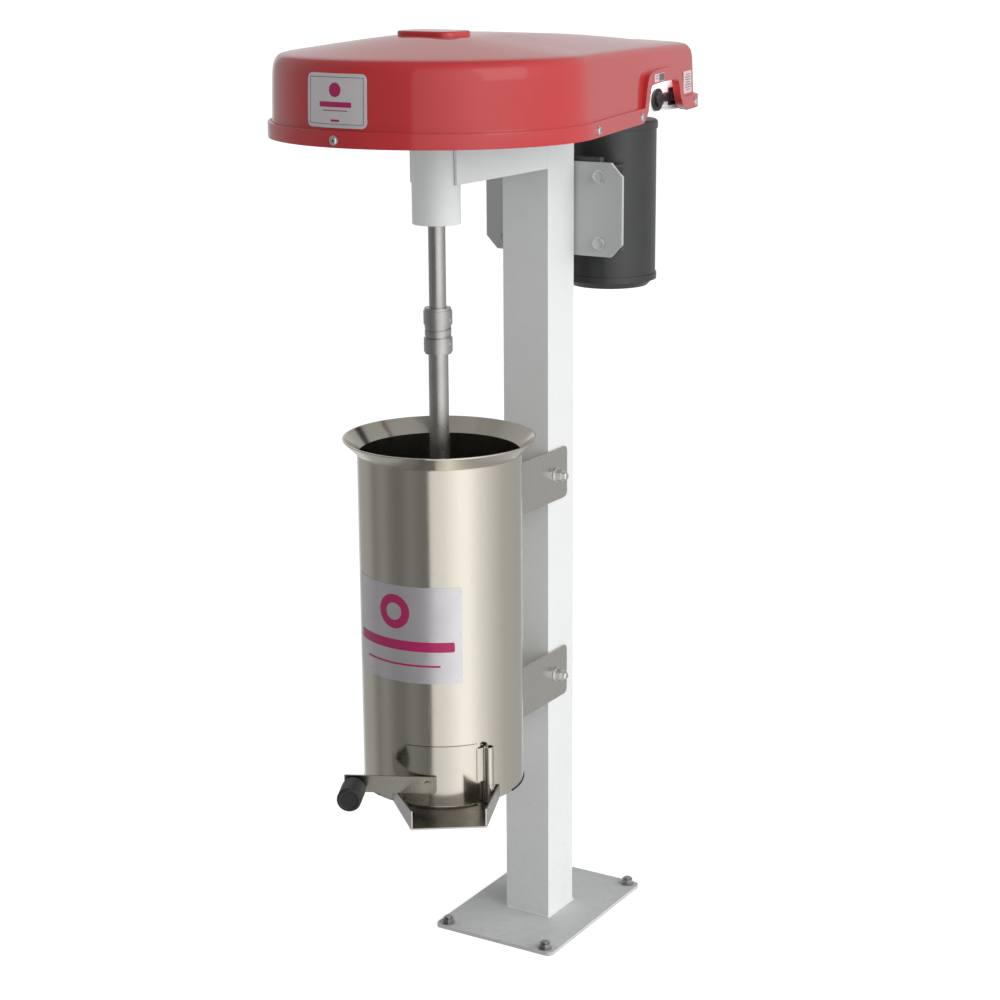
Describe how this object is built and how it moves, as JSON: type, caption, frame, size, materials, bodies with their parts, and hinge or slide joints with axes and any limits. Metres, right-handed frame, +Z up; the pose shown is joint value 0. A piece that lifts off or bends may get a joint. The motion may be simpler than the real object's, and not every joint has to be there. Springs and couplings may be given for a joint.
{
  "type": "column-mounted vertical crusher",
  "caption": "Floor-standing crusher: a belt-driven vertical spindle under a long red hood turns blades in an open steel tub with a hinged side discharge door and chute.",
  "frame": {"origin": "the square column's centre line at the underside of the floor plate", "axes": "+Z up; -Y is the front, where the tub is; +X is on the viewer's right when facing the front"},
  "size_m": [0.47, 0.8888, 1.4512],
  "materials": {
    "floor_paint": "satin grey coat",
    "white_paint": "smooth white powder coat",
    "plate_paint": "light grey powder coat",
    "hood_red": "glossy red gel coat",
    "motor_paint": "dark grey satin paint",
    "stainless": "brushed",
    "shaft_steel": "turned",
    "zinc_bolts": "bright zinc",
    "anchor_steel": "dull",
    "pulley_iron": "machined and oiled",
    "belt_rubber": "matt",
    "black_plastic": "fine texture",
    "label_silver": "satin print"
  },
  "bodies": {
    "frame": {"base_plate": "floor_paint", "anchor_bolts": "anchor_steel", "column": "white_paint", "mount_rail": "white_paint", "arm_cheeks": "white_paint", "bearing_housing": "white_paint", "bearing_outer_races": "shaft_steel", "bearing_balls": "shaft_steel", "shaft_seal": "belt_rubber", "deck_pan": "white_paint", "hood": "hood_red", "hood_screws": "zinc_bolts", "hood_pad": "hood_red", "hood_label": "label_silver", "side_label": "label_silver", "control_panel": "white_paint", "button_bezel": "black_plastic", "rocker_frame": "black_plastic", "fuse_holders": "black_plastic", "cable_gland": "black_plastic", "v_belt": "belt_rubber", "motor_mount_plate": "plate_paint", "motor_bolts": "zinc_bolts", "motor_foot": "motor_paint", "motor_body": "motor_paint", "motor_top_cap": "motor_paint", "motor_bottom_cap": "motor_paint", "tub": "stainless", "tub_floor": "stainless", "upper_bracket": "stainless", "lower_bracket": "stainless", "bracket_bolts": "zinc_bolts", "bracket_nuts": "zinc_bolts", "chute": "stainless", "hinge_knuckle": "stainless", "hinge_pin": "shaft_steel", "tub_label": "label_silver"},
    "spindle": {"spindle_shaft": "shaft_steel", "bearing_inner_races": "shaft_steel", "spindle_pulley": "pulley_iron", "pulley_nut": "zinc_bolts", "coupling_sleeve": "stainless", "coupling_pins": "stainless", "beater_shaft": "stainless", "beater_hub": "stainless", "beater_blades": "stainless"},
    "rotor": {"motor_rotor": "shaft_steel", "motor_shaft": "shaft_steel", "motor_pulley": "pulley_iron"},
    "door": {"discharge_door": "stainless", "door_knuckle": "stainless", "lever_bolt": "zinc_bolts"},
    "lever": {"lever": "stainless", "grip": "black_plastic"},
    "button": {"push_button": "black_plastic"},
    "rocker_switch": {"rocker": "black_plastic"}
  },
  "joints": [
    {"name": "spindle_spin", "type": "hinge", "parent": "frame", "child": "spindle", "pos_m": [0, -0.288, 1], "axis": [0, 0, 1], "continuous": true},
    {"name": "motor_spin", "type": "hinge", "parent": "frame", "child": "rotor", "pos_m": [0, 0.23, 1.2], "axis": [0, 0, 1], "continuous": true},
    {"name": "door_swing", "type": "hinge", "parent": "frame", "child": "door", "pos_m": [0.11612, -0.34464, 0.385], "axis": [0, 0, 1], "range_deg": [0, 60]},
    {"name": "lever_lift", "type": "hinge", "parent": "door", "child": "lever", "pos_m": [0.04835, -0.40538, 0.372], "axis": [-0.4384, 0.8988, 0], "range_deg": [0, 20]},
    {"name": "button_press", "type": "slide", "parent": "frame", "child": "button", "axis": [-1, 0, 0], "range_m": [0, 0.004], "stiffness_N_per_m": 300},
    {"name": "rocker_tilt", "type": "hinge", "parent": "frame", "child": "rocker_switch", "pos_m": [0.093, 0.256, 1.33], "axis": [0, 1, 0], "range_deg": [0, 20]}
  ],
  "couplings": [
    {"joint": "motor_spin", "follows": "spindle_spin", "ratio": 3.3333}
  ]
}
